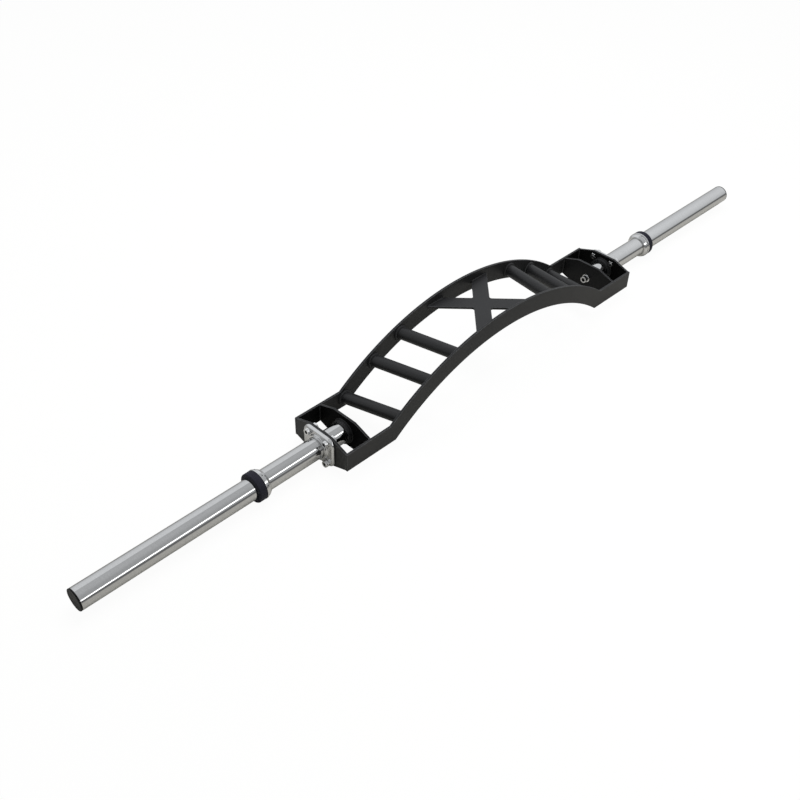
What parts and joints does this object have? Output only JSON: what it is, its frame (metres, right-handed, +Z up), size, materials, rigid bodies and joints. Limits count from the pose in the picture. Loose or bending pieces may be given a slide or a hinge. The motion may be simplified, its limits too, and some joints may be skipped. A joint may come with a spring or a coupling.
{
  "type": "cambered bar",
  "caption": "Cambered multi-grip lifting bar: arched twin-rail frame with angled cross grips, brace, end boxes and turning plate sleeves with collars.",
  "frame": {"origin": "on the floor, below the middle of the bar: the centre of the bottom of the bounding box, level with the feet of the end plates and the flanges", "axes": "+X along the bar toward the right sleeve's end cap, +Y to the rear rail, +Z up through the crest of the arch"},
  "size_m": [2.286, 0.172, 0.194],
  "materials": {
    "black_coating": "fine-textured black powder coat, semi-gloss",
    "grip_coating": "satin black powder coat",
    "sleeve_chrome": "chrome plate over a finely turned tube",
    "flange_chrome": "bright chrome plate",
    "zinc_plated_steel": "bright zinc plate",
    "bearing_plastic": "dark bearing plastic that needs no oil",
    "rubber": "matt black rubber",
    "black_plastic": "matt black moulded plastic"
  },
  "bodies": {
    "frame": {"front_rail": "black_coating", "rear_rail": "black_coating", "cross_brace": "black_coating", "right_outer_plate": "black_coating", "right_inner_plate": "black_coating", "right_outer_grip": "grip_coating", "right_middle_grip": "grip_coating", "right_inner_grip": "grip_coating", "right_outer_boss": "black_coating", "right_inner_boss": "black_coating", "right_flange": "flange_chrome", "right_outer_bush": "bearing_plastic", "right_inner_bush": "bearing_plastic", "right_flange_screw_1": "zinc_plated_steel", "right_flange_nut_1": "zinc_plated_steel", "right_flange_screw_2": "zinc_plated_steel", "right_flange_nut_2": "zinc_plated_steel", "right_flange_screw_3": "zinc_plated_steel", "right_flange_nut_3": "zinc_plated_steel", "right_flange_screw_4": "zinc_plated_steel", "right_flange_nut_4": "zinc_plated_steel", "left_outer_plate": "black_coating", "left_inner_plate": "black_coating", "left_outer_grip": "grip_coating", "left_middle_grip": "grip_coating", "left_inner_grip": "grip_coating", "left_outer_boss": "black_coating", "left_inner_boss": "black_coating", "left_flange": "flange_chrome", "left_outer_bush": "bearing_plastic", "left_inner_bush": "bearing_plastic", "left_flange_screw_1": "zinc_plated_steel", "left_flange_nut_1": "zinc_plated_steel", "left_flange_screw_2": "zinc_plated_steel", "left_flange_nut_2": "zinc_plated_steel", "left_flange_screw_3": "zinc_plated_steel", "left_flange_nut_3": "zinc_plated_steel", "left_flange_screw_4": "zinc_plated_steel", "left_flange_nut_4": "zinc_plated_steel"},
    "right_sleeve": {"right_sleeve_tube": "sleeve_chrome", "right_sleeve_plug": "zinc_plated_steel", "right_end_screw": "zinc_plated_steel", "right_end_washer": "zinc_plated_steel", "right_collar": "flange_chrome", "right_bumper_ring": "rubber", "right_end_cap": "black_plastic"},
    "left_sleeve": {"left_sleeve_tube": "sleeve_chrome", "left_sleeve_plug": "zinc_plated_steel", "left_end_screw": "zinc_plated_steel", "left_end_washer": "zinc_plated_steel", "left_collar": "flange_chrome", "left_bumper_ring": "rubber", "left_end_cap": "black_plastic"}
  },
  "joints": [
    {"name": "right_sleeve_spin", "type": "hinge", "parent": "frame", "child": "right_sleeve", "pos_m": [0.8, 0, 0.03802], "axis": [1, 0, 0], "continuous": true},
    {"name": "left_sleeve_spin", "type": "hinge", "parent": "frame", "child": "left_sleeve", "pos_m": [-0.8, 0, 0.03802], "axis": [1, 0, 0], "continuous": true}
  ]
}
